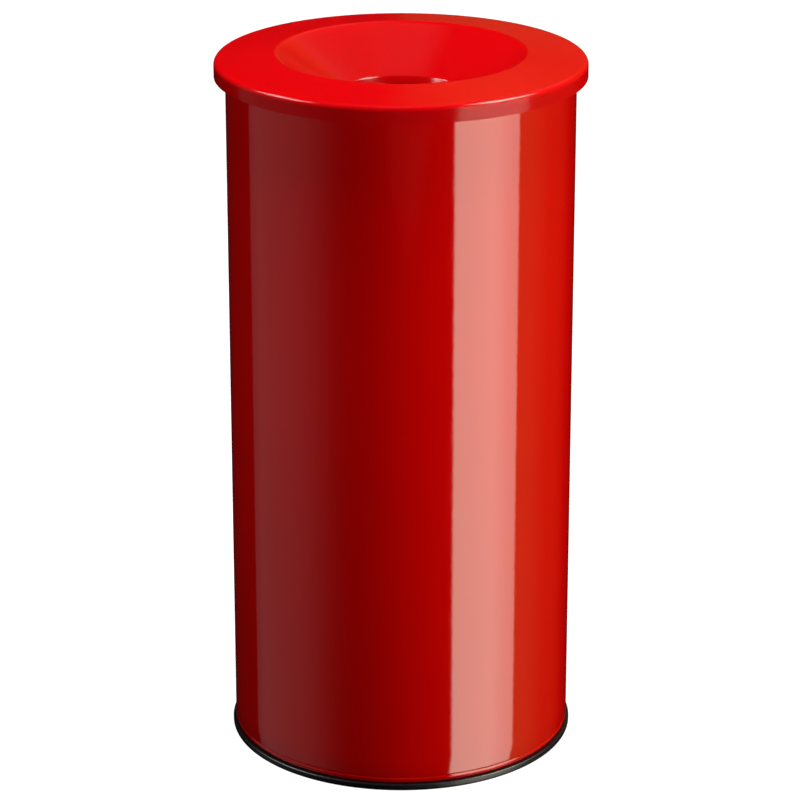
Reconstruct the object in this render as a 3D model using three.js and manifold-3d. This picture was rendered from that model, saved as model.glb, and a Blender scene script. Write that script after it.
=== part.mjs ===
// A free-standing fire-safe waste can: a rolled steel can with a funnel-shaped head that smothers flames,
// and a galvanised liner with two drop handles inside it.
// Millimetres, +Z up, origin on the floor at the can's axis. -Y is the front, +X the right-hand side.

import * as THREE from 'three';
import { mergeVertices } from 'three/addons/utils/BufferGeometryUtils.js';
import Module from 'manifold-3d';

const wasm = await Module();
wasm.setup();

// ---------- Driving dimensions ----------

const TOTAL_HEIGHT = 654;          // floor to the top of the head
const CAN_RADIUS = 157.5;          // outside of the can's wall
const HEAD_RADIUS = 167.5;         // outside of the head's skirt
const THROAT_RADIUS = 55;          // the opening that waste drops through
const SHEET = 0.8;                 // can and liner sheet
const HEAD_WALL = 3;               // moulded wall of the head
const GAP = 0.3;                   // clearance between pieces that rest on each other
const SIDES = 48;                  // flats round every turned piece

// Base of the can: a foot ring under a rolled-in hem, and a swaged groove that traps the bottom plate.
const FOOT_HEIGHT = 5.6;
const FOOT_RADIUS = 160;
const HEM_BEND = 5.3;
const HEM_INNER_RADIUS = 150;
const GROOVE_DEPTH = 1;
const GROOVE_HALF_WIDTH = 1.2;
const GROOVE_ABOVE_BEND = 2;
const PLATE_BEND = 4.2;
const PLATE_EDGE = 155.2;          // middle of the sheet where the bottom plate turns up

// Can's rim, rolled outwards over a wire.
const RIM_ROLL = 2.2;              // middle of the sheet to the roll's centre
const RIM_WIRE_RADIUS = 1.3;
const ROLL_STEPS = 6;
const WIRE_SIDES = 6;

// Head: a crowned ring that falls a little towards its edge, and a funnel inside it.
const CROWN_SLOPE = THREE.MathUtils.degToRad(5.9);
const EDGE_ROUND = 5;
const SKIRT_BOTTOM = 633.5;
const SHOULDER_RADIUS = 114;       // the highest circle, where the crown turns down into the funnel
const SHOULDER_ROUND = 10;
const FUNNEL_SLOPE = THREE.MathUtils.degToRad(34);
const LIP_ROUND = 4;
const NECK_BOTTOM = 598;
const COLLAR_RADIUS = 153.3;       // outside of the collar that drops inside the can's rim
const COLLAR_DEPTH = 20;
const RIB_COUNT = 12;
const RIB_BOTTOM = 638;

// Spring clips: leaves folded over the collar's edge that grip the inside of the can.
const CLIP_COUNT = 3;
const CLIP_SHEET = 0.6;
const CLIP_HALF_WIDTH = 7;
const CLIP_TOP = 640;
const CLIP_BULGE_HEIGHT = 634;

// Liner.
const LINER_TOP_RADIUS = 145.6;    // middle of the sheet at the rim
const LINER_FOOT_RADIUS = 142;     // middle of the sheet at the bottom
const LINER_RIM_HEIGHT = 612;      // centre of the rim's roll
const LINER_ROLL = 2;
const LINER_WIRE_RADIUS = 1.2;
const LINER_FLOOR_HEIGHT = 21.5;
const BEAD_HEIGHTS = [90, 500];
const BEAD_DEPTH = 2;
const BEAD_HALF_WIDTH = 5;

// Drop handles inside the liner.
const HANDLE_WIRE = 2.4;           // wire radius
const HANDLE_HALF_WIDTH = 40;
const HANDLE_DROP = 38;
const HANDLE_CORNER = 12;
const PIVOT = { x: 135, z: 582 };
const STRAP_SHEET = 1.2;
const STRAP_HALF_WIDTH = 17;
const STRAP_FACE = 142.8;          // middle of the strap's flat part, along X
const STRAP_TOP = 613;
const STRAP_BEND = 592;
const KNUCKLE = 3.4;               // middle of the strap's sheet to the pivot
const STRAP_RIVET_HEIGHT = 603;
const STRAP_RIVET_SPREAD = 10;

// Rivets.
const RIVET_RADIUS = 1.5;
const RIVET_HEAD = { radius: 3.4, height: 1.5 };
const RIVET_TAIL = { radius: 2.3, height: 0.8 };

// ---------- Materials ----------

function finish(color, roughness, metalness) {
  return new THREE.MeshStandardMaterial({ color, roughness, metalness });
}

const redPaint = finish(0xc01008, 0.22, 0.1);
const redPlastic = finish(0xe01a18, 0.4, 0);
const blackVinyl = finish(0x15151a, 0.55, 0);
const galvanised = finish(0xa9adb0, 0.45, 0.9);
const zincWire = finish(0xb9bcc0, 0.35, 0.9);

// ---------- Outlines ----------

// Points on an arc, angles in degrees, both ends included.
function arc(x, y, radius, from, to, steps) {
  return Array.from({ length: steps + 1 }, (_, i) => {
    const angle = THREE.MathUtils.degToRad(from + ((to - from) * i) / steps);
    return new THREE.Vector2(x + radius * Math.cos(angle), y + radius * Math.sin(angle));
  });
}

// A whole circle as a closed outline, the first point not repeated.
function circle(x, y, radius, sides) {
  return arc(x, y, radius, 0, 360 - 360 / sides, sides - 1);
}

// The closed outline of a strip of sheet that follows a path along the middle of its thickness.
function sheetOutline(path, thickness) {
  const side = (sign) => path.map((here, i) => {
    const before = path[Math.max(i - 1, 0)];
    const after = path[Math.min(i + 1, path.length - 1)];
    const into = here.clone().sub(before).normalize();
    const out = after.clone().sub(here).normalize();
    const along = into.clone().add(out).normalize();
    const turn = i === 0 ? out : into;
    const miter = Math.max(along.dot(turn), 0.5);
    const normal = new THREE.Vector2(-along.y, along.x);
    return here.clone().addScaledVector(normal, (sign * thickness) / 2 / miter);
  });
  return [...side(1), ...side(-1).reverse()];
}

const point = (x, y) => new THREE.Vector2(x, y);

// ---------- Solids ----------

// A closed outline in radius and height, turned about the Z axis.
function turned(outline, sides = SIDES) {
  const onAxis = outline[0].x === 0 && outline.at(-1).x === 0;
  const loop = onAxis ? outline : [...outline, outline[0].clone()];
  if (THREE.ShapeUtils.area(outline) < 0) loop.reverse();
  return new THREE.LatheGeometry(loop, sides).rotateX(Math.PI / 2);
}

// A flat outline in X and Z, given a width along Y.
function stripAlongY(outline, halfWidth) {
  const geometry = new THREE.ExtrudeGeometry(new THREE.Shape(outline), {
    depth: 2 * halfWidth,
    steps: 1,
    bevelEnabled: false,
  });
  return geometry.rotateX(Math.PI / 2).translate(0, halfWidth, 0);
}

function solid(geometry) {
  const bare = geometry.clone();
  bare.deleteAttribute('normal');
  bare.deleteAttribute('uv');
  const merged = mergeVertices(bare, 1e-3);
  return new wasm.Manifold(new wasm.Mesh({
    numProp: 3,
    vertProperties: new Float32Array(merged.attributes.position.array),
    triVerts: new Uint32Array(merged.index.array),
  }));
}

function geometryOf(manifold) {
  const { vertProperties, triVerts } = manifold.getMesh();
  const geometry = new THREE.BufferGeometry();
  geometry.setAttribute('position', new THREE.BufferAttribute(new Float32Array(vertProperties), 3));
  geometry.setIndex(new THREE.BufferAttribute(new Uint32Array(triVerts), 1));
  geometry.computeVertexNormals();
  return geometry;
}

const can = new THREE.Group();

function add(name, geometry, material, halfTurn = false) {
  const mesh = new THREE.Mesh(geometry, material);
  mesh.name = name;
  if (halfTurn) mesh.rotation.z = Math.PI;
  can.add(mesh);
}

// ---------- Crown of the head ----------

// Heights of the head's sloping top and of its underside, at a distance from the axis.
const crownStart = {
  r: SHOULDER_RADIUS + SHOULDER_ROUND * Math.sin(CROWN_SLOPE),
  z: TOTAL_HEIGHT - SHOULDER_ROUND * (1 - Math.cos(CROWN_SLOPE)),
};
const crownBelow = (r, depth) => crownStart.z - (r - crownStart.r) * Math.tan(CROWN_SLOPE)
  - depth / Math.cos(CROWN_SLOPE);
const underside = (r) => crownBelow(r, HEAD_WALL);

// ---------- Can ----------

const wallRadius = CAN_RADIUS - SHEET / 2;
const hemHeight = FOOT_HEIGHT + GAP + SHEET / 2;
const bendTop = hemHeight + HEM_BEND;
const grooveHeight = bendTop + GROOVE_ABOVE_BEND;
const rimRadius = wallRadius + RIM_ROLL;
const rimCentre = { r: rimRadius, z: crownBelow(rimRadius, HEAD_WALL + GAP + SHEET / 2 + RIM_ROLL) };

const bodyPath = [
  point(HEM_INNER_RADIUS, hemHeight),
  ...arc(wallRadius - HEM_BEND, bendTop, HEM_BEND, -90, 0, 3),
  point(wallRadius, grooveHeight - GROOVE_HALF_WIDTH),
  point(wallRadius - GROOVE_DEPTH, grooveHeight),
  point(wallRadius, grooveHeight + GROOVE_HALF_WIDTH),
  ...arc(rimCentre.r, rimCentre.z, RIM_ROLL, 180, -120, ROLL_STEPS),
];
add('body_shell', turned(sheetOutline(bodyPath, SHEET)), redPaint);
add('body_rim_wire', turned(circle(rimCentre.r, rimCentre.z, RIM_WIRE_RADIUS, WIRE_SIDES)), zincWire);

// The bottom plate lies on the hem, its turned-up edge under the groove, with a raised panel for stiffness.
const plateHeight = hemHeight + SHEET + GAP;
const platePanel = { radius: 118, height: plateHeight + 6, foot: 124 };
const platePath = [
  point(0, platePanel.height),
  point(platePanel.radius, platePanel.height),
  point(platePanel.foot, plateHeight),
  ...arc(PLATE_EDGE - PLATE_BEND, plateHeight + PLATE_BEND, PLATE_BEND, -90, 0, 3),
];
add('bottom_plate', turned(sheetOutline(platePath, SHEET)), redPaint);

// The foot ring: a vinyl section that stands proud of the can, with a lip up the inside of the hem.
const lipRadius = HEM_INNER_RADIUS - GAP - 0.1;
const footRound = FOOT_HEIGHT / 2;
const footOutline = [
  point(lipRadius - 3.5, 1),
  point(lipRadius - 2.5, 0),
  ...arc(FOOT_RADIUS - footRound, footRound, footRound, -90, 90, 6),
  point(lipRadius, FOOT_HEIGHT),
  point(lipRadius, FOOT_HEIGHT + 0.9),
  point(lipRadius - 3.5, FOOT_HEIGHT + 0.9),
];
add('base_ring', turned(footOutline), blackVinyl);

// ---------- Liner ----------

const linerFoot = plateHeight + SHEET / 2 + GAP;
const linerSpan = LINER_RIM_HEIGHT - linerFoot;
const linerRadius = (z) => LINER_FOOT_RADIUS
  + ((LINER_TOP_RADIUS - LINER_FOOT_RADIUS) * (z - linerFoot)) / linerSpan;
const linerRollRadius = LINER_TOP_RADIUS + LINER_ROLL;
const linerPath = [
  point(linerRadius(linerFoot), linerFoot),
  ...BEAD_HEIGHTS.flatMap((z) => [
    point(linerRadius(z - BEAD_HALF_WIDTH), z - BEAD_HALF_WIDTH),
    point(linerRadius(z) + BEAD_DEPTH, z),
    point(linerRadius(z + BEAD_HALF_WIDTH), z + BEAD_HALF_WIDTH),
  ]),
  ...arc(linerRollRadius, LINER_RIM_HEIGHT, LINER_ROLL, 180, -120, ROLL_STEPS),
];
const linerWall = turned(sheetOutline(linerPath, SHEET));
const linerWire = circle(linerRollRadius, LINER_RIM_HEIGHT, LINER_WIRE_RADIUS, WIRE_SIDES);
add('liner_rim_wire', turned(linerWire), zincWire);

// The liner's floor is a cap with a deep edge, pressed up inside the wall.
const floorBend = 3;
const floorEdge = linerRadius(linerFoot) - SHEET - GAP;
const floorPath = [
  point(0, LINER_FLOOR_HEIGHT),
  ...arc(floorEdge - floorBend, LINER_FLOOR_HEIGHT - floorBend, floorBend, 90, 0, 3),
  point(floorEdge, linerFoot + 0.4),
];
add('liner_floor', turned(sheetOutline(floorPath, SHEET)), galvanised);

// ---------- Rivets ----------

// A rivet along X: domed head, shank, and a set tail, gripping from one face to the other.
function rivet(from, to, y, z) {
  const outline = [
    point(0, from - RIVET_HEAD.height),
    point(RIVET_HEAD.radius * 0.6, from - RIVET_HEAD.height * 0.8),
    point(RIVET_HEAD.radius, from),
    point(RIVET_RADIUS, from),
    point(RIVET_RADIUS, to),
    point(RIVET_TAIL.radius, to),
    point(RIVET_TAIL.radius * 0.6, to + RIVET_TAIL.height),
    point(0, to + RIVET_TAIL.height),
  ];
  return turned(outline, 12).rotateY(Math.PI / 2).translate(0, y, z);
}

// The space round a rivet's shank, used to cut its hole.
function rivetHole(from, to, y, z) {
  const radius = RIVET_RADIUS + GAP;
  const pin = new THREE.CylinderGeometry(radius, radius, to - from, 12).rotateZ(Math.PI / 2);
  return solid(pin.translate((from + to) / 2, y, z));
}

// ---------- Drop handles ----------

// A strap: flat where it is riveted on, then set in from the wall and rolled round the handle's bar.
const strapPath = [
  point(STRAP_FACE, STRAP_TOP),
  point(STRAP_FACE, STRAP_BEND),
  point(PIVOT.x + KNUCKLE, PIVOT.z + 3),
  ...arc(PIVOT.x, PIVOT.z, KNUCKLE, 0, -285, 10),
];
let strap = solid(stripAlongY(sheetOutline(strapPath, STRAP_SHEET), STRAP_HALF_WIDTH));
let linerSolid = solid(linerWall);
for (const y of [-STRAP_RIVET_SPREAD, STRAP_RIVET_SPREAD]) {
  const hole = rivetHole(STRAP_FACE - 4, STRAP_FACE + 6, y, STRAP_RIVET_HEIGHT);
  strap = strap.subtract(hole);
  linerSolid = linerSolid.subtract(hole).subtract(hole.rotate([0, 0, 180]));
}
add('liner_shell', geometryOf(linerSolid), galvanised);

// The strap's rivets grip from its inner face to the outside of the liner's wall.
const strapGrip = [STRAP_FACE - STRAP_SHEET / 2 - GAP, linerRadius(STRAP_RIVET_HEIGHT) + SHEET / 2];
const strapRivet = (y) => rivet(...strapGrip, y, STRAP_RIVET_HEIGHT);

// A D-shaped handle: a bar through the knuckle and a bow that hangs from its ends.
function dropHandle() {
  const bottom = PIVOT.z - HANDLE_DROP;
  const inner = HANDLE_HALF_WIDTH - HANDLE_CORNER;
  const bow = [
    point(-HANDLE_HALF_WIDTH, PIVOT.z),
    point(-HANDLE_HALF_WIDTH, PIVOT.z - 10),
    ...arc(-inner, bottom + HANDLE_CORNER, HANDLE_CORNER, 180, 270, 4),
    ...arc(inner, bottom + HANDLE_CORNER, HANDLE_CORNER, 270, 360, 4),
    point(HANDLE_HALF_WIDTH, PIVOT.z - 10),
    point(HANDLE_HALF_WIDTH, PIVOT.z),
  ].map(({ x, y }) => new THREE.Vector3(PIVOT.x, x, y));
  const section = new THREE.Shape(circle(0, 0, HANDLE_WIRE, 8));
  const bowTube = new THREE.ExtrudeGeometry(section, {
    steps: 30,
    extrudePath: new THREE.CatmullRomCurve3(bow, false, 'centripetal'),
  });
  const bar = new THREE.CylinderGeometry(HANDLE_WIRE, HANDLE_WIRE, 2 * (HANDLE_HALF_WIDTH + HANDLE_WIRE), 8);
  bar.translate(PIVOT.x, 0, PIVOT.z);
  return geometryOf(solid(bowTube).add(solid(bar)));
}

for (const [side, halfTurn] of [['right', false], ['left', true]]) {
  add(`handle_strap_${side}`, geometryOf(strap), galvanised, halfTurn);
  add(`handle_${side}`, dropHandle(), zincWire, halfTurn);
  const front = halfTurn ? STRAP_RIVET_SPREAD : -STRAP_RIVET_SPREAD;
  add(`strap_rivet_${side}_front`, strapRivet(front), zincWire, halfTurn);
  add(`strap_rivet_${side}_back`, strapRivet(-front), zincWire, halfTurn);
}

// ---------- Head ----------

// The moulded wall: neck, lip, funnel, shoulder, crown, rounded edge and skirt.
const half = HEAD_WALL / 2;
const slopeDegrees = THREE.MathUtils.radToDeg(FUNNEL_SLOPE);
const crownDegrees = THREE.MathUtils.radToDeg(CROWN_SLOPE);
const lipCentreRadius = THROAT_RADIUS + LIP_ROUND;
const shoulderEnd = {
  r: SHOULDER_RADIUS - SHOULDER_ROUND * Math.sin(FUNNEL_SLOPE),
  z: TOTAL_HEIGHT - SHOULDER_ROUND * (1 - Math.cos(FUNNEL_SLOPE)),
};
const lipTop = lipCentreRadius - LIP_ROUND * Math.sin(FUNNEL_SLOPE);
const lipCentreHeight = shoulderEnd.z - (shoulderEnd.r - lipTop) * Math.tan(FUNNEL_SLOPE)
  - LIP_ROUND * Math.cos(FUNNEL_SLOPE);
const shoulderCentre = TOTAL_HEIGHT - SHOULDER_ROUND;
const shoulderTurn = [90 + slopeDegrees, 90 - crownDegrees];
const edgeCentreRadius = HEAD_RADIUS - EDGE_ROUND;
const edgeCentreHeight = crownBelow(edgeCentreRadius, EDGE_ROUND);
const headPath = [
  point(THROAT_RADIUS + half, NECK_BOTTOM),
  ...arc(lipCentreRadius, lipCentreHeight, LIP_ROUND - half, 180, 90 + slopeDegrees, 3),
  ...arc(SHOULDER_RADIUS, shoulderCentre, SHOULDER_ROUND - half, ...shoulderTurn, 4),
  ...arc(edgeCentreRadius, edgeCentreHeight, EDGE_ROUND - half, 90 - crownDegrees, 0, 4),
  point(HEAD_RADIUS - half, SKIRT_BOTTOM),
];

// A collar that drops inside the can's rim, and ribs from it to the funnel under the crown.
const collarBottom = underside(COLLAR_RADIUS) - COLLAR_DEPTH;
const collarInner = COLLAR_RADIUS - HEAD_WALL;
const collarOutline = [
  point(collarInner, collarBottom),
  point(COLLAR_RADIUS, collarBottom),
  point(COLLAR_RADIUS, underside(COLLAR_RADIUS) + 1),
  point(collarInner, underside(collarInner) + 1),
];
const ribOutline = [
  point(collarInner + 1, underside(collarInner) + 1),
  point(SHOULDER_RADIUS, underside(SHOULDER_RADIUS) + 1),
  point(SHOULDER_RADIUS - 5, underside(SHOULDER_RADIUS) - 0.5),
  point(SHOULDER_RADIUS + 2, RIB_BOTTOM),
  point(collarInner + 1, RIB_BOTTOM),
];
let head = solid(turned(sheetOutline(headPath, HEAD_WALL))).add(solid(turned(collarOutline)));
for (let i = 0; i < RIB_COUNT; i += 1) {
  const rib = stripAlongY(ribOutline, 1).rotateZ(((i + 0.5) / RIB_COUNT) * 2 * Math.PI);
  head = head.add(solid(rib));
}

// ---------- Spring clips ----------

// Distance from the axis to the middle of a flat on a turned piece.
const toFlat = (radius) => radius * Math.cos(Math.PI / SIDES);

// Each leaf runs down inside the collar, round its edge, and up outside it in a bulge that meets the can.
const leafIn = toFlat(collarInner) - GAP - CLIP_SHEET / 2;
const leafOut = toFlat(COLLAR_RADIUS) + GAP + CLIP_SHEET / 2;
const leafBulge = toFlat(CAN_RADIUS - SHEET) - GAP - CLIP_SHEET / 2;
const clipPath = [
  point(leafIn, CLIP_TOP),
  ...arc((leafIn + leafOut) / 2, collarBottom, (leafOut - leafIn) / 2, -180, 0, 6),
  point(leafBulge, CLIP_BULGE_HEIGHT - 1),
  point(leafBulge, CLIP_BULGE_HEIGHT + 1),
  point(leafOut + 0.6, CLIP_TOP),
];
const clipGrip = [leafIn - CLIP_SHEET / 2 - GAP, toFlat(COLLAR_RADIUS) + GAP];
const clipHole = rivetHole(clipGrip[0] - 1, clipGrip[1] + 0.7, 0, CLIP_BULGE_HEIGHT);
const clip = solid(stripAlongY(sheetOutline(clipPath, CLIP_SHEET), CLIP_HALF_WIDTH)).subtract(clipHole);
for (let i = 0; i < CLIP_COUNT; i += 1) {
  const angle = Math.PI / 2 + Math.PI / SIDES + (i / CLIP_COUNT) * 2 * Math.PI;
  head = head.subtract(clipHole.rotate([0, 0, THREE.MathUtils.radToDeg(angle)]));
  add(`head_clip_${i + 1}`, geometryOf(clip).rotateZ(angle), zincWire);
  add(`clip_rivet_${i + 1}`, rivet(...clipGrip, 0, CLIP_BULGE_HEIGHT).rotateZ(angle), zincWire);
}
add('head', geometryOf(head), redPlastic);

export default can;
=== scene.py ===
"""The looks of a free-standing flame-smothering waste can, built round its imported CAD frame.

Metres, +Z up, -Y is the front. Every turned, bent and drawn piece is rebuilt round and smooth
on the place and size that its CAD node gives.
"""

import math

import bmesh
import bpy
from mathutils import Matrix, Vector


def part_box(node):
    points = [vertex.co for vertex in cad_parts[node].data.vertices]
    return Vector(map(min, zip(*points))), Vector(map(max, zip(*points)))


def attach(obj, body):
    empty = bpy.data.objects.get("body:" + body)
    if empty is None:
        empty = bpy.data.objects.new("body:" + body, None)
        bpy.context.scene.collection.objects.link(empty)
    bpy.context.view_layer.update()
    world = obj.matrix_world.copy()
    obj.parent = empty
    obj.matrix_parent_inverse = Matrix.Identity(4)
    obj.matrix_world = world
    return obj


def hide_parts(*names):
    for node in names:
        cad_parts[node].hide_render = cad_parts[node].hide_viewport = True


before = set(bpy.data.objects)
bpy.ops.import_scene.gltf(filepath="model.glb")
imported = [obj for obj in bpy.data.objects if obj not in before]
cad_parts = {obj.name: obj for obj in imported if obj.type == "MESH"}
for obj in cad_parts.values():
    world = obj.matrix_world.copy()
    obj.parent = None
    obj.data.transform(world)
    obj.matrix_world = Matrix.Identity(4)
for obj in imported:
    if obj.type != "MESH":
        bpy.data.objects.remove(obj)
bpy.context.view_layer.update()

MM = 0.001
SHEET = 0.8 * MM
GAP = 0.3 * MM
SHARP_ANGLE = math.radians(35)
EDGE_EASE = 0.12 * MM
TINY = 1e-7


# ---------- Outlines ----------

def arc(x, y, radius, start, end, steps):
    """Points on an arc, angles in degrees, both ends included."""
    turns = [math.radians(start + (end - start) * i / steps) for i in range(steps + 1)]
    return [(x + radius * math.cos(t), y + radius * math.sin(t)) for t in turns]


def circle(x, y, radius, sides):
    """The corners of an even polygon."""
    return arc(x, y, radius, 0, 360 - 360 / sides, sides - 1)


def sheet_outline(path, thickness):
    """The closed outline of a sheet, from a path along the middle of its thickness."""
    points = [Vector(p) for p in path]

    def side(sign):
        shifted = []
        for i, p in enumerate(points):
            into = (p - points[max(i - 1, 0)]).normalized()
            out = (points[min(i + 1, len(points) - 1)] - p).normalized()
            along = (into + out).normalized()
            miter = max(along.dot(out if i == 0 else into), 0.5)
            normal = Vector((-along.y, along.x))
            shifted.append(p + normal * (sign * thickness / 2 / miter))
        return shifted

    return [tuple(p) for p in side(1) + side(-1)[::-1]]


def rows(start, end, count):
    """Points evenly spaced between two points, both left out."""
    return [
        (start[0] + (end[0] - start[0]) * i / count, start[1] + (end[1] - start[1]) * i / count)
        for i in range(1, count)
    ]


# ---------- Meshes ----------

def link_object(name, data):
    """A new object in the scene."""
    made = bpy.data.objects.new(name, data)
    bpy.context.scene.collection.objects.link(made)
    return made


def finish_mesh(name, bm, look, body, node):
    """Turns a filled bmesh into a smooth piece that rides on a body, in place of a CAD node."""
    material, slot = look
    bmesh.ops.recalc_face_normals(bm, faces=bm.faces)
    mesh = bpy.data.meshes.new(name)
    bm.to_mesh(mesh)
    bm.free()
    mesh.shade_smooth()
    mesh.set_sharp_from_angle(angle=SHARP_ANGLE)
    mesh.materials.append(material)
    piece = link_object(name, mesh)
    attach(piece, body)
    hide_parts(node)


def lathe(outline, angles, proud=None):
    """Turns a closed outline in radius and height, or one from axis to axis, about Z."""
    bm = bmesh.new()
    rings = []
    for radius, height in outline:
        if radius < TINY:
            rings.append([bm.verts.new((0, 0, height))] * len(angles))
            continue
        ring = []
        for angle in angles:
            r = radius + (proud(angle, radius, height) if proud else 0)
            ring.append(bm.verts.new((r * math.cos(angle), r * math.sin(angle), height)))
        rings.append(ring)
    on_axis = outline[0][0] < TINY
    pairs = list(zip(rings, rings[1:])) + ([] if on_axis else [(rings[-1], rings[0])])
    for low, high in pairs:
        for i in range(len(angles)):
            j = (i + 1) % len(angles)
            corners = []
            for vert in (low[i], low[j], high[j], high[i]):
                if vert not in corners:
                    corners.append(vert)
            if len(corners) > 2:
                bm.faces.new(corners)
    return bm


def strip(outline, half_width, placing=Matrix.Identity(4)):
    """A flat outline in X and Z, given a width along Y, with its edges eased."""
    bm = bmesh.new()
    sides = []
    for y in (-half_width, half_width):
        sides.append([bm.verts.new((x, y, z)) for x, z in outline])
        bm.faces.new(sides[-1])
    count = len(outline)
    for i in range(count):
        j = (i + 1) % count
        bm.faces.new((sides[0][i], sides[0][j], sides[1][j], sides[1][i]))
    rims = [e for e in bm.edges if abs(e.verts[0].co.y - e.verts[1].co.y) < TINY]
    bmesh.ops.bevel(
        bm,
        geom=rims,
        offset=EDGE_EASE,
        segments=2,
        profile=0.5,
        affect="EDGES",
        clamp_overlap=True,
    )
    bmesh.ops.transform(bm, matrix=placing, verts=bm.verts)
    return bm


def wire_loop(path, radius, sides, placing=Matrix.Identity(4)):
    """A round wire along a closed flat path in Y and Z, at X = 0."""
    bm = bmesh.new()
    rings = []
    count = len(path)
    for i in range(count):
        before = Vector((0, *path[i - 1]))
        after = Vector((0, *path[(i + 1) % count]))
        centre = Vector((0, *path[i]))
        along = (after - before).normalized()
        across = Vector((1, 0, 0))
        up = along.cross(across)
        section = circle(0, 0, radius, sides)
        rings.append([bm.verts.new(centre + across * a + up * b) for a, b in section])
    for i in range(count):
        for j in range(sides):
            k = (j + 1) % sides
            bm.faces.new((rings[i - 1][j], rings[i - 1][k], rings[i][k], rings[i][j]))
    bmesh.ops.transform(bm, matrix=placing, verts=bm.verts)
    return bm


# ---------- Nodes ----------

def wire_up(tree, value, socket):
    """Links a socket, or sets a plain value."""
    if isinstance(value, bpy.types.NodeSocket):
        tree.links.new(value, socket)
    else:
        socket.default_value = value


def mix_colour(tree, factor, first, second):
    """The colour between two colours at a factor from 0 to 1."""
    mix = tree.nodes.new("ShaderNodeMix")
    mix.data_type = "RGBA"
    sockets = {socket.identifier: socket for socket in mix.inputs}
    wire_up(tree, factor, sockets["Factor_Float"])
    for name, colour in (("A_Color", first), ("B_Color", second)):
        if not isinstance(colour, bpy.types.NodeSocket):
            colour = (*colour, 1)
        wire_up(tree, colour, sockets[name])
    return next(socket for socket in mix.outputs if socket.identifier == "Result_Color")


# ---------- Materials ----------

class Surface:
    """A Principled material, with procedural patterns in the object's own coordinates."""

    def __init__(self, name, **sockets):
        self.material = bpy.data.materials.new(name)
        self.material.use_nodes = True
        self.tree = self.material.node_tree
        self.shader = self.tree.nodes["Principled BSDF"]
        for socket, value in sockets.items():
            self.shader.inputs[socket.replace("_", " ")].default_value = value
        self.coordinates = self.tree.nodes.new("ShaderNodeTexCoord").outputs["Object"]
        self.normal = None

    def node(self, kind, inputs):
        """A new node with its named inputs set or linked."""
        made = self.tree.nodes.new(kind)
        for key, value in inputs.items():
            wire_up(self.tree, value, made.inputs[key])
        return made

    def stretched(self, x, y, z):
        """The object's coordinates, scaled along each axis."""
        mapping = self.node("ShaderNodeMapping", {"Vector": self.coordinates, "Scale": (x, y, z)})
        return mapping.outputs["Vector"]

    def noise(self, scale, detail=2.0, vector=None):
        inputs = {"Vector": vector or self.coordinates, "Scale": scale, "Detail": detail}
        return self.node("ShaderNodeTexNoise", inputs).outputs["Fac"]

    def remap(self, value, low, high, start=0.3, end=0.7):
        """Spreads a value over low to high; noise seldom leaves 0.3 to 0.7."""
        inputs = {"Value": value, "From Min": start, "From Max": end}
        inputs.update({"To Min": low, "To Max": high})
        return self.node("ShaderNodeMapRange", inputs).outputs["Result"]

    def colours(self, factor, first, second):
        """Sets the base colour to one that runs between two with a factor."""
        self.connect("Base Color", mix_colour(self.tree, factor, first, second))

    def bump(self, height, depth):
        """Raises the surface by up to depth, in metres, on top of the bumps before it."""
        inputs = {"Height": height, "Distance": depth, "Strength": 1.0}
        if self.normal:
            inputs["Normal"] = self.normal
        self.normal = self.node("ShaderNodeBump", inputs).outputs["Normal"]
        self.connect("Normal", self.normal)

    def connect(self, socket, value):
        self.tree.links.new(value, self.shader.inputs[socket])


def red_paint():
    """Gloss enamel on rolled sheet: faint orange peel over the slow waves of the sheet."""
    s = Surface("red_gloss_enamel", Specular_IOR_Level=0.5)
    clouds = s.noise(5.0, 3.0)
    s.colours(s.remap(clouds, 0, 1), (0.53, 0.0004, 0.0002), (0.57, 0.0006, 0.0003))
    s.connect("Roughness", s.remap(s.noise(40.0, 3.0), 0.05, 0.075))
    s.bump(s.noise(14.0, 1.0, s.stretched(1, 1, 0.6)), 0.07 * MM)
    s.bump(s.noise(170.0, 1.5), 0.02 * MM)
    return s.material


def red_moulding():
    """Satin moulding: pinker than the can, a little translucent, with a fine even grain."""
    s = Surface(
        "red_satin_moulding",
        Specular_IOR_Level=0.14,
        Subsurface_Weight=0.7,
        Subsurface_Scale=5 * MM,
    )
    s.shader.inputs["Subsurface Radius"].default_value = (1.0, 0.1, 0.1)
    clouds = s.noise(6.0, 3.0)
    s.colours(s.remap(clouds, 0, 1), (0.5, 0.0009, 0.0022), (0.53, 0.0012, 0.0027))
    s.connect("Roughness", s.remap(s.noise(60.0, 3.0), 0.11, 0.145))
    s.bump(s.noise(12.0, 1.0), 0.05 * MM)
    s.bump(s.noise(420.0, 1.0), 0.0025 * MM)
    return s.material


def black_vinyl():
    """Extruded vinyl: near black, faintly streaked round its length, with a low sheen."""
    s = Surface("black_vinyl_section", Specular_IOR_Level=0.25)
    streaks = s.noise(30.0, 4.0, s.stretched(1, 1, 25))
    s.colours(s.remap(streaks, 0, 1), (0.0025, 0.0024, 0.0034), (0.0045, 0.0042, 0.0055))
    s.connect("Roughness", s.remap(s.noise(220.0, 3.0), 0.27, 0.36))
    s.bump(streaks, 0.03 * MM)
    s.bump(s.noise(900.0, 2.0), 0.01 * MM)
    return s.material


def galvanised():
    """Hot-dip zinc: interlocking spangles, each with its own tone and gloss."""
    s = Surface("galvanised_sheet", Metallic=1.0)
    spangles = {"Vector": s.coordinates, "Scale": 95.0, "Randomness": 1.0}
    cells = s.node("ShaderNodeTexVoronoi", spangles)
    tone = s.node("ShaderNodeSeparateColor", {"Color": cells.outputs["Color"]}).outputs["Red"]
    s.colours(tone, (0.36, 0.38, 0.4), (0.52, 0.54, 0.55))
    s.connect("Roughness", s.remap(tone, 0.34, 0.5, 0.0, 1.0))
    s.bump(tone, 0.015 * MM)
    s.bump(s.noise(600.0, 3.0), 0.01 * MM)
    return s.material


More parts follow.
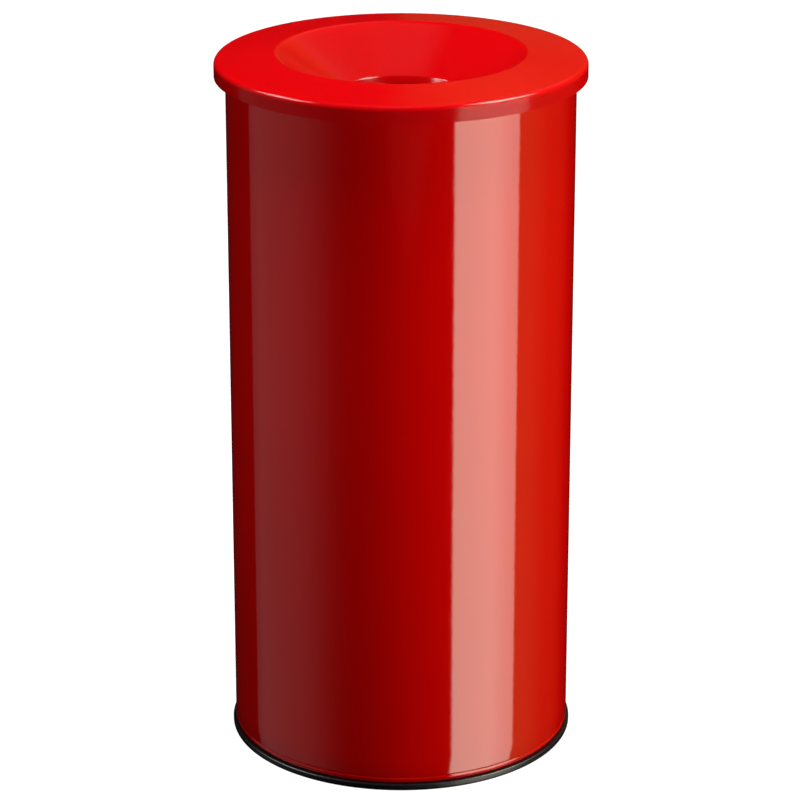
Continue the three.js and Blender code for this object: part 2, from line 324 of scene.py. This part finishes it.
def zinc_plate():
    """Bright zinc plating on drawn wire and small fittings."""
    s = Surface("zinc_plated_wire", Metallic=1.0)
    draw = s.noise(400.0, 3.0)
    s.colours(s.remap(draw, 0, 1), (0.5, 0.51, 0.54), (0.64, 0.65, 0.66))
    s.connect("Roughness", s.remap(s.noise(150.0, 3.0), 0.22, 0.36))
    s.bump(draw, 0.012 * MM)
    return s.material


# Each look is a material and a slot name.
PAINT = (red_paint(), "red_paint")
MOULDING = (red_moulding(), "red_moulding")
VINYL = (black_vinyl(), "black_vinyl")
GALVANISED = (galvanised(), "galvanised")
ZINC = (zinc_plate(), "zinc_wire")

# ---------- Sizes from the frame ----------

shell_low, shell_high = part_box("body_shell")
ring_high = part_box("base_ring")[1]
plate_low, plate_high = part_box("bottom_plate")
liner_low, liner_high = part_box("liner_shell")
floor_low, floor_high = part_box("liner_floor")
head_low, head_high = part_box("head")

SIDES = 288
ROUND = [2 * math.pi * i / SIDES for i in range(SIDES)]
WIRE_GAP = 0.5 * MM

# Can: middle of its wall, its hem and the centre of its rolled rim.
RIM_ROLL = 2.2 * MM
HEM_BEND = 5.3 * MM
HEM_INSET = 7.1 * MM
HEM_SUNK = 0.6 * MM  # the can's weight presses its hem a little into the soft foot ring
wall = shell_high.x - 2 * RIM_ROLL - SHEET / 2
hem = shell_low.z + SHEET / 2 - HEM_SUNK
rim_centre = (wall + RIM_ROLL, shell_high.z - SHEET / 2 - RIM_ROLL)

# Liner: middle of its wall at the top and foot, and the centre of its rolled rim.
LINER_ROLL = 2 * MM
LINER_TAPER = 3.6 * MM
liner_top = liner_high.x - 2 * LINER_ROLL - SHEET / 2
liner_foot = liner_top - LINER_TAPER
liner_rim = (liner_top + LINER_ROLL, liner_high.z - SHEET / 2 - LINER_ROLL)

# Head: the crown falls a little from the shoulder round the funnel to the rounded edge.
HEAD_WALL = 3 * MM
CROWN_SLOPE = math.radians(5.9)
SHOULDER_RADIUS = 114 * MM
SHOULDER_ROUND = 10 * MM
SKIRT_DEPTH = 20.5 * MM
COLLAR_RADIUS = 153.3 * MM
COLLAR_DEPTH = 20 * MM
RIBS = 12
CLIPS = 3
head_top = head_high.z
head_radius = head_high.x


def crown_below(radius, depth):
    """Height of a line that lies some depth under the crown's sloping top."""
    start = SHOULDER_RADIUS + SHOULDER_ROUND * math.sin(CROWN_SLOPE)
    level = head_top - SHOULDER_ROUND * (1 - math.cos(CROWN_SLOPE))
    return level - (radius - start) * math.tan(CROWN_SLOPE) - depth / math.cos(CROWN_SLOPE)


underside = crown_below(COLLAR_RADIUS, HEAD_WALL)
collar_low = underside - COLLAR_DEPTH

# ---------- Seams ----------

# A folded seam runs down the back of each rolled wall and stands a little proud of it.
SEAM_ANGLE = math.pi / 2
SEAM_HALF_WIDTH = 3.2 * MM
SEAM_EASE = 0.6 * MM
SEAM_FADE = 3 * MM


def seam_angles(radius):
    """Even angles round the circle, with extra ones along the seam's edges."""
    edges = [SEAM_HALF_WIDTH + SEAM_EASE * share for share in (-0.7, -0.2, 0.3, 0.8)]
    extra = [SEAM_ANGLE + side * edge / radius for edge in edges for side in (-1, 1)]
    return sorted(ROUND + extra)


def smooth(value):
    """Rises softly from 0 to 1 as the value does, and stays level outside."""
    value = min(max(value, 0), 1)
    return value * value * (3 - 2 * value)


def seam(low, high, proud):
    """How far the seam stands out of a wall between two heights, fading at its ends."""
    def offset(angle, radius, height):
        aside = abs(angle - SEAM_ANGLE) * radius
        across = smooth((SEAM_HALF_WIDTH + SEAM_EASE - aside) / SEAM_EASE)
        fade = smooth((height - low) / SEAM_FADE) * smooth((high - height) / SEAM_FADE)
        return proud * across * fade
    return offset


# ---------- Beads and grooves ----------

SWELL_STEPS = [t / 180 for t in range(-180, 181, 30)]


def swell(share):
    """The section of a pressed bead: 1 in its middle, at 0, and 0 at its sides, at -1 and 1."""
    return (1 + math.cos(math.pi * share)) / 2


# ---------- Can ----------

def build_can():
    """A rolled wall with a groove above its hem, a folded seam at the back and a wired rim."""
    groove_depth, groove_half_width = 0.5 * MM, 1.4 * MM
    groove_height = hem + HEM_BEND + groove_half_width
    groove = [
        (wall - groove_depth * swell(share), groove_height + groove_half_width * share)
        for share in SWELL_STEPS
    ]
    path = [
        (wall - HEM_INSET, hem),
        *arc(wall - HEM_BEND, hem + HEM_BEND, HEM_BEND, -90, -6, 14),
        *groove,
        *rows(groove[-1], (wall, rim_centre[1]), 40),
        *arc(*rim_centre, RIM_ROLL, 180, -120, 28),
    ]
    seam_low, seam_high, seam_proud = groove_height + 4 * MM, rim_centre[1] - 8 * MM, 0.55 * MM
    folded = seam(seam_low, seam_high, seam_proud)
    shell = lathe(sheet_outline(path, SHEET), seam_angles(wall), folded)
    finish_mesh("can_wall", shell, PAINT, "can", "body_shell")
    wire = lathe(circle(*rim_centre, RIM_ROLL - SHEET / 2 - WIRE_GAP, 10), ROUND)
    finish_mesh("can_rim_wire", wire, ZINC, "can", "body_rim_wire")


def build_bottom():
    """A dished plate that lies on the hem, with its middle pressed up."""
    top = plate_high.z - SHEET / 2
    low = plate_low.z + SHEET / 2
    edge = plate_high.x - SHEET / 2
    bend, panel, panel_foot, panel_round = 4.2 * MM, 115 * MM, 127 * MM, 4 * MM
    path = [
        (0, top),
        *rows((0, top), (panel, top), 10),
        *arc(panel, top - panel_round, panel_round, 90, 45, 6),
        *arc(panel_foot, low + panel_round, panel_round, 225, 270, 6),
        *arc(edge - bend, low + bend, bend, -90, 0, 8),
    ]
    plate = lathe(sheet_outline(path, SHEET), ROUND)
    finish_mesh("can_bottom", plate, PAINT, "can", "bottom_plate")


def build_foot_ring():
    """A soft section: its lip stands inside the hem, its outer edge hugs the hem's bend."""
    radius, lip_top = ring_high.x, ring_high.z
    clearance, lip_width, inner_round = 0.4 * MM, 3.5 * MM, 1 * MM
    ease, chamfer = 0.3 * MM, 0.4 * MM
    lip = wall - HEM_INSET - clearance
    bottom_round, top_round, top = 2.8 * MM, 1.3 * MM, 6.5 * MM
    bend_centre = (wall - HEM_BEND, hem + HEM_BEND)
    hug = HEM_BEND + SHEET / 2 + GAP
    start = math.degrees(math.asin((top - bend_centre[1]) / hug))
    outline = [
        *arc(lip - lip_width + inner_round, inner_round, inner_round, 180, 270, 4),
        *arc(radius - bottom_round, bottom_round, bottom_round, -90, 0, 10),
        *arc(radius - top_round, top - top_round, top_round, 0, 90, 6),
        *arc(*bend_centre, hug, start, -90, 8),
        (lip, bend_centre[1] - hug),
        (lip, lip_top - ease),
        *arc(lip - 2 * ease, lip_top - ease, ease, 0, 90, 3),
        (lip - lip_width + chamfer, lip_top),
        (lip - lip_width, lip_top - ease),
    ]
    finish_mesh("foot_ring", lathe(outline, ROUND), VINYL, "can", "base_ring")


# ---------- Liner ----------

def liner_radius(height):
    """The middle of the tapered wall at a height."""
    share = (height - liner_low.z) / (liner_rim[1] - liner_low.z)
    return liner_foot + (liner_top - liner_foot) * share


def liner_bead(middle, depth=2 * MM, half_width=6 * MM):
    """A rounded bead pressed outwards round the wall."""
    heights = [(middle + half_width * share, share) for share in SWELL_STEPS]
    return [(liner_radius(height) + depth * swell(share), height) for height, share in heights]


def build_liner():
    """A tapered wall with two beads and a wired rim, on a pressed floor."""
    low_bead, high_bead = liner_bead(90 * MM), liner_bead(500 * MM)
    path = [
        (liner_foot, liner_low.z),
        *rows((liner_foot, liner_low.z), low_bead[0], 5),
        *low_bead,
        *rows(low_bead[-1], high_bead[0], 24),
        *high_bead,
        *rows(high_bead[-1], (liner_top, liner_rim[1]), 6),
        *arc(*liner_rim, LINER_ROLL, 180, -120, 24),
    ]
    seam_high, seam_proud = liner_rim[1] - 6 * MM, 0.4 * MM
    folded = seam(liner_low.z, seam_high, seam_proud)
    shell = lathe(sheet_outline(path, SHEET), seam_angles(liner_top), folded)
    finish_mesh("liner_wall", shell, GALVANISED, "liner", "liner_shell")
    wire = lathe(circle(*liner_rim, LINER_ROLL - SHEET / 2 - WIRE_GAP, 10), ROUND)
    finish_mesh("liner_rim_wire_loop", wire, ZINC, "liner", "liner_rim_wire")

    # The floor is pressed down a little inside a rounded step near its edge.
    bend, sunk, step_width, step_inset = 3 * MM, 0.8 * MM, 6 * MM, 22 * MM
    flange_low = floor_low.z + 0.1 * MM
    level = floor_high.z - SHEET / 2
    edge = floor_high.x - SHEET / 2
    step_start = edge - step_inset
    middle = (0, level - sunk)
    step = [
        (step_start + step_width * share, level - sunk * swell(share))
        for share in SWELL_STEPS if share >= 0
    ]
    pressed = [
        middle,
        *rows(middle, (step_start, level - sunk), 12),
        *step,
        *arc(edge - bend, level - bend, bend, 90, 0, 8),
        (edge, flange_low),
    ]
    base = lathe(sheet_outline(pressed, SHEET), ROUND)
    finish_mesh("liner_base", base, GALVANISED, "liner", "liner_floor")


# ---------- Drop handles ----------

def rivet(start, end):
    """A rivet along X from the face under its domed head to the face under its set tail."""
    shank, head, tail = 1.5 * MM, (3.4 * MM, 1.5 * MM), (2.3 * MM, 0.8 * MM)
    dome = [
        (head[0] * math.sin(math.radians(t)), start - head[1] * math.cos(math.radians(t)))
        for t in range(0, 91, 10)
    ]
    button = [
        (tail[0] * math.cos(math.radians(t)), end + tail[1] * math.sin(math.radians(t)))
        for t in range(0, 91, 15)
    ]
    outline = [*dome, (shank, start), (shank, end), *button[:-1], (0, end + tail[1])]
    outline[0] = (0, outline[0][1])
    bm = lathe(outline, [2 * math.pi * i / 28 for i in range(28)])
    bmesh.ops.transform(bm, matrix=Matrix.Rotation(math.pi / 2, 4, "Y"), verts=bm.verts)
    return bm


def build_handles():
    """Wire bows that hang in the knuckles of two straps, each riveted to the liner's wall."""
    sheet, knuckle, strap_half_width, crank = 1.2 * MM, 3.4 * MM, 17 * MM, 8 * MM
    low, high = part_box("handle_right")
    wire = (high.x - low.x) / 2
    pivot = Vector(((low.x + high.x) / 2, 0, high.z - wire))
    half_width = high.y - wire
    bottom = low.z + wire
    strap_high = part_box("handle_strap_right")[1]
    face = strap_high.x - sheet / 2
    rivet_height, rivet_aside = pivot.z + 21 * MM, 10 * MM
    crank_height = pivot.z + 11 * MM
    corner, top_corner = 12 * MM, 4 * MM
    bow = [
        *arc(half_width - top_corner, pivot.z - top_corner, top_corner, 90, 0, 8),
        *rows((half_width, pivot.z - top_corner), (half_width, bottom + corner), 6),
        *arc(half_width - corner, bottom + corner, corner, 0, -90, 12),
        *rows((half_width - corner, bottom), (corner - half_width, bottom), 14),
        *arc(corner - half_width, bottom + corner, corner, -90, -180, 12),
        *rows((-half_width, bottom + corner), (-half_width, pivot.z - top_corner), 6),
        *arc(top_corner - half_width, pivot.z - top_corner, top_corner, 180, 90, 8),
        *rows((top_corner - half_width, pivot.z), (half_width - top_corner, pivot.z), 20),
    ]
    strap_path = [
        (face, strap_high.z),
        *rows((face, strap_high.z), (face, crank_height + 1 * MM), 4),
        *arc(face - crank, crank_height, crank, 0, -33, 6),
        *arc(pivot.x, pivot.z, knuckle, 22, -285, 26),
    ]
    for side, turn in (("right", 0), ("left", math.pi)):
        placing = Matrix.Rotation(turn, 4, "Z")
        handle = wire_loop(bow, wire, 20, placing @ Matrix.Translation((pivot.x, 0, 0)))
        finish_mesh(f"wire_handle_{side}", handle, ZINC, f"handle_{side}", f"handle_{side}")
        strap = strip(sheet_outline(strap_path, sheet), strap_half_width, placing)
        finish_mesh(f"strap_{side}", strap, GALVANISED, "liner", f"handle_strap_{side}")
        for end, y in (("front", -rivet_aside), ("back", rivet_aside)):
            pin = rivet(face - sheet / 2 - GAP, liner_radius(rivet_height) + SHEET / 2)
            shift = Matrix.Translation((0, y if side == "right" else -y, rivet_height))
            bmesh.ops.transform(pin, matrix=placing @ shift, verts=pin.verts)
            name = f"rivet_{side}_{end}"
            finish_mesh(f"liner_{name}", pin, ZINC, "liner", f"strap_{name}")


# ---------- Head ----------

def build_head():
    """A moulded ring, funnel and skirt, stiffened underneath by a collar and ribs."""
    throat, lip, neck_round, edge = 52.5 * MM, 3.1 * MM, 5 * MM, 5 * MM
    slope, cone_slope, cone_length = 34, 60, 5 * MM
    half = HEAD_WALL / 2
    fall = math.degrees(CROWN_SLOPE)
    rise, run = math.cos(math.radians(slope)), math.sin(math.radians(slope))
    shoulder_end = (SHOULDER_RADIUS - SHOULDER_ROUND * run, head_top - SHOULDER_ROUND * (1 - rise))
    # The funnel turns over a tight lip into a short cone, which runs gently into the upright neck.
    cone_rise, cone_run = math.cos(math.radians(cone_slope)), math.sin(math.radians(cone_slope))
    neck_centre = throat + neck_round
    cone_low = neck_centre - neck_round * cone_run
    lip_centre = cone_low + cone_length * cone_rise + lip * cone_run
    lip_height = (
        shoulder_end[1] - (shoulder_end[0] - (lip_centre - lip * run)) * run / rise - lip * rise
    )
    neck_height = lip_height + (lip - neck_round) * cone_rise - cone_length * cone_run
    neck = (throat + half, head_low.z)
    shoulder_height = head_top - SHOULDER_ROUND
    edge_height = crown_below(head_radius - edge, edge)
    neck_arc = arc(neck_centre, neck_height, neck_round - half, 180, 90 + cone_slope, 5)
    lip_arc = arc(lip_centre, lip_height, lip - half, 90 + cone_slope, 90 + slope, 7)
    shoulder_round = SHOULDER_ROUND - half
    shoulder = arc(SHOULDER_RADIUS, shoulder_height, shoulder_round, 90 + slope, 90 - fall, 18)
    rounding = arc(head_radius - edge, edge_height, edge - half, 90 - fall, 0, 14)
    skirt_low = (head_radius - half, head_top - SKIRT_DEPTH)
    path = [
        neck,
        *rows(neck, neck_arc[0], 5),
        *neck_arc,
        *lip_arc,
        *rows(lip_arc[-1], shoulder[0], 12),
        *shoulder,
        *rows(shoulder[-1], rounding[0], 12),
        *rounding,
        *rows(rounding[-1], skirt_low, 3),
        skirt_low,
    ]
    shell = lathe(sheet_outline(path, HEAD_WALL), ROUND)
    finish_mesh("head_moulding", shell, MOULDING, "head", "head")

    # Under the crown, a collar and ribs, each sunk a little into the wall it stands on.
    sunk, ease, rib_half_width = 1 * MM, 0.8 * MM, 1 * MM
    inner = COLLAR_RADIUS - HEAD_WALL
    collar = lathe(
        [
            *arc(inner + ease, collar_low + ease, ease, 180, 270, 4),
            *arc(COLLAR_RADIUS - ease, collar_low + ease, ease, 270, 360, 4),
            (COLLAR_RADIUS, underside + sunk),
            (inner, crown_below(inner, HEAD_WALL) + sunk),
        ],
        ROUND,
    )
    finish_mesh("head_collar", collar, MOULDING, "head", "head")

    peak = crown_below(SHOULDER_RADIUS, HEAD_WALL)
    rib_low = head_top - 16 * MM
    rib = [
        (inner + sunk, crown_below(inner, HEAD_WALL) + sunk),
        (SHOULDER_RADIUS, peak + sunk),
        (SHOULDER_RADIUS - 5 * MM, peak - 0.5 * MM),
        (SHOULDER_RADIUS + 2 * MM, rib_low),
        (inner + sunk, rib_low),
    ]
    for i in range(RIBS):
        turn = Matrix.Rotation((i + 0.5) * 2 * math.pi / RIBS, 4, "Z")
        web = strip(rib, rib_half_width, turn)
        finish_mesh(f"head_rib_{i + 1}", web, MOULDING, "head", "head")


def build_clips():
    """Spring leaves that wrap the collar's foot and press on the can's wall."""
    sheet, half_width, bulge_round = 0.6 * MM, 7 * MM, 9 * MM
    top, bulge_height = head_top - 14 * MM, head_top - 20 * MM
    start = math.radians(93.75)  # at the back, between two ribs
    # Each leaf runs down inside the collar, turns round its foot and bulges out at the can's wall.
    leaf_in = COLLAR_RADIUS - HEAD_WALL - 0.9 * MM
    leaf_out = COLLAR_RADIUS + 0.4 * MM
    bulge = wall - SHEET / 2 - 1 * MM
    path = [
        (leaf_in, top),
        *rows((leaf_in, top), (leaf_in, collar_low), 4),
        *arc((leaf_in + leaf_out) / 2, collar_low, (leaf_out - leaf_in) / 2, -180, 0, 14),
        *arc(bulge - bulge_round, bulge_height, bulge_round, -36, 36, 12),
    ]
    for i in range(CLIPS):
        turn = Matrix.Rotation(start + i * 2 * math.pi / CLIPS, 4, "Z")
        leaf = strip(sheet_outline(path, sheet), half_width, turn)
        finish_mesh(f"spring_clip_{i + 1}", leaf, ZINC, "head", f"head_clip_{i + 1}")
        pin = rivet(leaf_in - sheet / 2, COLLAR_RADIUS)
        lift = Matrix.Translation((0, 0, bulge_height))
        bmesh.ops.transform(pin, matrix=turn @ lift, verts=pin.verts)
        finish_mesh(f"spring_clip_rivet_{i + 1}", pin, ZINC, "head", f"clip_rivet_{i + 1}")


# ---------- Stage ----------

FLOOR_SIZE = 12
FLOOR_GLOW = 0.97
BACKDROP = 1.0
# Azimuths across the far side of the tall panel on the right.
PANEL_FAR_SIDE = (82.6, 84.2)


def build_floor():
    """Pale paper, lit evenly, that the can doesn't mirror."""
    bm = bmesh.new()
    bmesh.ops.create_grid(bm, x_segments=1, y_segments=1, size=FLOOR_SIZE)
    mesh = bpy.data.meshes.new("studio_floor")
    bm.to_mesh(mesh)
    bm.free()
    floor = link_object("studio_floor", mesh)
    paper = Surface("pale_floor", Roughness=0.9, Specular_IOR_Level=0.0)
    paper.colours(paper.noise(2.0), (0.165, 0.165, 0.166), (0.175, 0.175, 0.176))
    paper.shader.inputs["Emission Color"].default_value = (1, 1, 1, 1)
    paper.shader.inputs["Emission Strength"].default_value = FLOOR_GLOW
    mesh.materials.append(paper.material)
    floor.visible_glossy = False
    floor.visible_diffuse = False
    floor.visible_shadow = False


class Sky:
    """Studio light as a function of direction: soft-edged panels on a dark surround."""

    def __init__(self, ambient):
        world = bpy.data.worlds.new("studio_light")
        world.use_nodes = True
        bpy.context.scene.world = world
        self.tree = world.node_tree
        self.background = self.tree.nodes["Background"]
        direction = self.tree.nodes.new("ShaderNodeTexCoord").outputs["Generated"]
        split = self.tree.nodes.new("ShaderNodeSeparateXYZ")
        wire_up(self.tree, direction, split.inputs[0])
        self.x, y, z = split.outputs
        front = self.math("MULTIPLY", y, -1.0)
        self.azimuth = self.math("DEGREES", self.math("ARCTAN2", self.x, front))
        self.elevation = self.math("DEGREES", self.math("ARCSINE", z))
        self.total = self.math("ADD", ambient, 0.0)

    def math(self, operation, *inputs):
        made = self.tree.nodes.new("ShaderNodeMath")
        made.operation = operation
        for value, socket in zip(inputs, made.inputs):
            wire_up(self.tree, value, socket)
        return made.outputs[0]

    def step(self, value, low, high):
        """0 below low, 1 above high, smooth between; the other way round if low is above high."""
        made = self.tree.nodes.new("ShaderNodeMapRange")
        made.interpolation_type = "SMOOTHSTEP"
        backwards = low > high
        inputs = {
            "Value": value,
            "From Min": min(low, high),
            "From Max": max(low, high),
            "To Min": 1 if backwards else 0,
            "To Max": 0 if backwards else 1,
        }
        for key, setting in inputs.items():
            wire_up(self.tree, setting, made.inputs[key])
        return made.outputs["Result"]

    def light(self, strength, *steps):
        """Adds light where every (value, low, high) step is passed."""
        product = strength
        for value, low, high in steps:
            product = self.math("MULTIPLY", self.step(value, low, high), product)
        self.total = self.math("ADD", self.total, product)

    def finish(self, backdrop):
        """Mirrored in gloss only, and seen by the camera as a plain backdrop."""
        seen = self.tree.nodes.new("ShaderNodeLightPath").outputs["Is Camera Ray"]
        mix = self.tree.nodes.new("ShaderNodeMix")
        for key, value in (("Factor", seen), ("A", self.total), ("B", backdrop)):
            wire_up(self.tree, value, mix.inputs[key])
        wire_up(self.tree, mix.outputs["Result"], self.background.inputs["Strength"])
        # Warmer to the right, and amber in the spill beyond the right-hand panel.
        neutral, warm, amber = (1, 0.985, 0.98), (1, 0.985, 0.81), (1, 0.985, 0.3)
        tint = mix_colour(self.tree, self.step(self.x, -0.2, 0.4), neutral, warm)
        beyond, low = self.step(self.azimuth, *PANEL_FAR_SIDE), self.step(self.elevation, 34, 28)
        tint = mix_colour(self.tree, self.math("MULTIPLY", beyond, low), tint, amber)
        colour = mix_colour(self.tree, seen, tint, (1, 1, 1))
        wire_up(self.tree, colour, self.background.inputs["Color"])
        bpy.context.scene.world.cycles_visibility.diffuse = False


def build_reflections():
    """What the gloss mirrors. Azimuths are measured from the front, positive to the right."""
    sky = Sky(0.004)
    az, el = sky.azimuth, sky.elevation
    # Tall panel on the right with clean sides, a little weaker towards its far side.
    tall, near_side = ((el, -38, -34), (el, 40, 20)), (az, 34, 36)
    start, end = PANEL_FAR_SIDE
    sky.light(3.9, near_side, (az, end, start), *tall)
    sky.light(2.2, near_side, (az, end, 60), *tall)
    # Its spill on the studio wall beyond it.
    sky.light(0.3, (az, start, end), (az, 118, 84), *tall)
    sky.light(0.08, (az, start, end), (az, 150, 110), *tall)
    # Dim card on the left, clean at its far side.
    low = ((el, -38, -34), (el, 30, 10))
    sky.light(0.16, (az, -118.2, -117.2), (az, -28, -75), *low)
    sky.light(0.12, (az, -118.2, -105), (az, -40, -85), *low)
    # Raised softboxes, right and left.
    sky.light(44.0, (az, 58, 74), (az, 116, 100), (el, 36, 44), (el, 66, 58))
    sky.light(24.0, (az, -118, -106), (az, -66, -80), (el, 28, 36), (el, 56, 48))
    # Overhead cloth, and a glow behind the right-hand side that grows upwards.
    sky.light(0.6, (el, 60, 78))
    sky.light(0.08, (sky.x, -0.12, 0.05), (az, 90, 150), (el, -5, 5), (el, 50, 30))
    sky.light(0.35, (sky.x, -0.03, 0.12), (az, 100, 135), (el, 16, 36), (el, 78, 60))
    sky.finish(BACKDROP)


def build_lamps():
    """Softboxes: azimuth, distance, height, width and light where the can is nearest."""
    lamps = {
        "key": (72, 1.7, 0.55, 0.7, 1.13),
        "left": (-100, 1.7, 0.85, 0.7, 0.41),
        "front_fill": (5, 1.1, 0.52, 0.6, 0.41),
        "right_rim": (120, 1.7, 0.5, 0.7, 0.17),
        "back_fill": (180, 1.7, 0.8, 0.8, 0.3),
    }
    target = Vector((0, 0, head_top / 2))
    for name, (azimuth, distance, height, width, level) in lamps.items():
        turn = math.radians(azimuth)
        place = Vector((distance * math.sin(turn), -distance * math.cos(turn), height))
        add_lamp(name, place, target, width, level, distance - wall)
    # High enough to stay well above the head when everything is lifted out.
    reach = 5
    add_lamp("overhead", Vector((0, -0.15, head_top + reach)), target, 2.0, 1.76, reach)


def add_lamp(name, place, target, width, level, reach):
    """A round softbox with a given light at a given distance, which gloss doesn't mirror."""
    data = bpy.data.lights.new(name, "AREA")
    data.shape = "DISK"
    data.size = width
    data.energy = level * (math.pi * reach) ** 2
    lamp = link_object(name, data)
    lamp.location = place
    lamp.rotation_euler = (target - place).to_track_quat("-Z", "Y").to_euler()
    lamp.visible_glossy = False


def build_camera():
    """Looks down at the can from the front, through a long lens."""
    looks_down, distance, height = 20.17, 2.9887, 1.4203
    camera = link_object("camera", bpy.data.cameras.new("camera"))
    camera.location = (0, -distance, height)
    camera.rotation_euler = (math.radians(90 - looks_down), 0, 0)
    camera.data.lens = 154.8
    camera.data.sensor_width = 36
    camera.data.shift_x = -0.00126
    camera.data.clip_end = 100
    bpy.context.scene.camera = camera


build_camera()
build_reflections()
build_lamps()
build_floor()
build_can()
build_bottom()
build_foot_ring()
build_liner()
build_handles()
build_head()
build_clips()
bpy.context.scene.view_settings.view_transform = "Standard"
